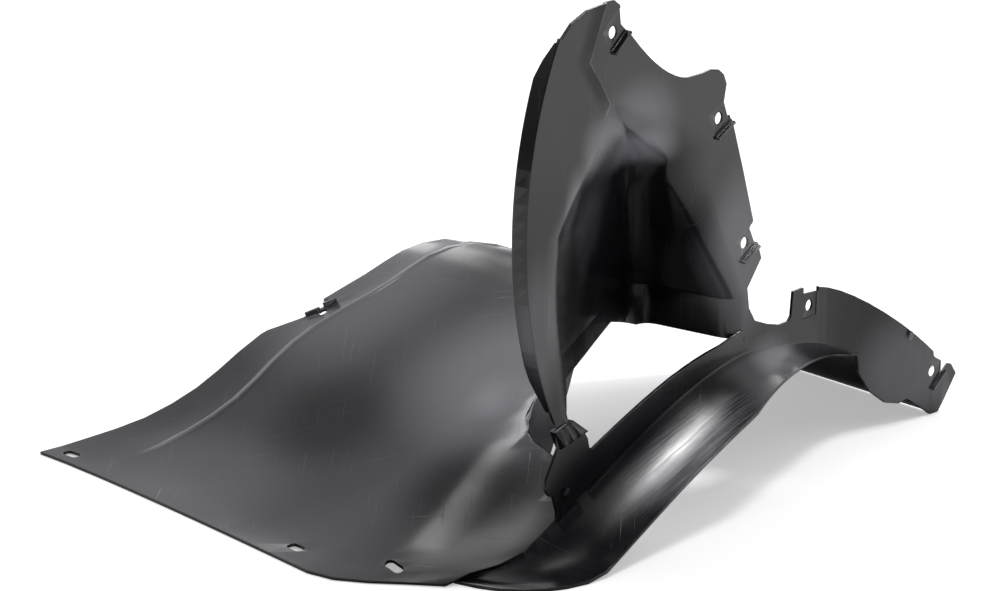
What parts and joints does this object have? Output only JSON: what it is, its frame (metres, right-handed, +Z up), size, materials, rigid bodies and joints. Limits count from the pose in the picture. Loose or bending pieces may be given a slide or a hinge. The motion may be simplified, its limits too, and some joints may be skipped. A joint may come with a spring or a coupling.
{
  "type": "wheel arch liner",
  "caption": "Moulded black plastic wheel arch liner: flared front apron, arch deck, lip band, and an upright side wall with a deep pocket and clip tabs.",
  "frame": {"origin": "on the floor, in the plane of the outer cheek, straight below the crest of the wheel arch", "axes": "+X out of the wheel arch, away from the deck; +Y along the arch from the front apron towards the end plate; +Z up"},
  "size_m": [0.5464, 0.6682, 0.436],
  "materials": {
    "moulded_plastic": "moulded black polypropylene, soft sheen"
  },
  "bodies": {
    "root": {"liner": "moulded_plastic"}
  },
  "joints": []
}
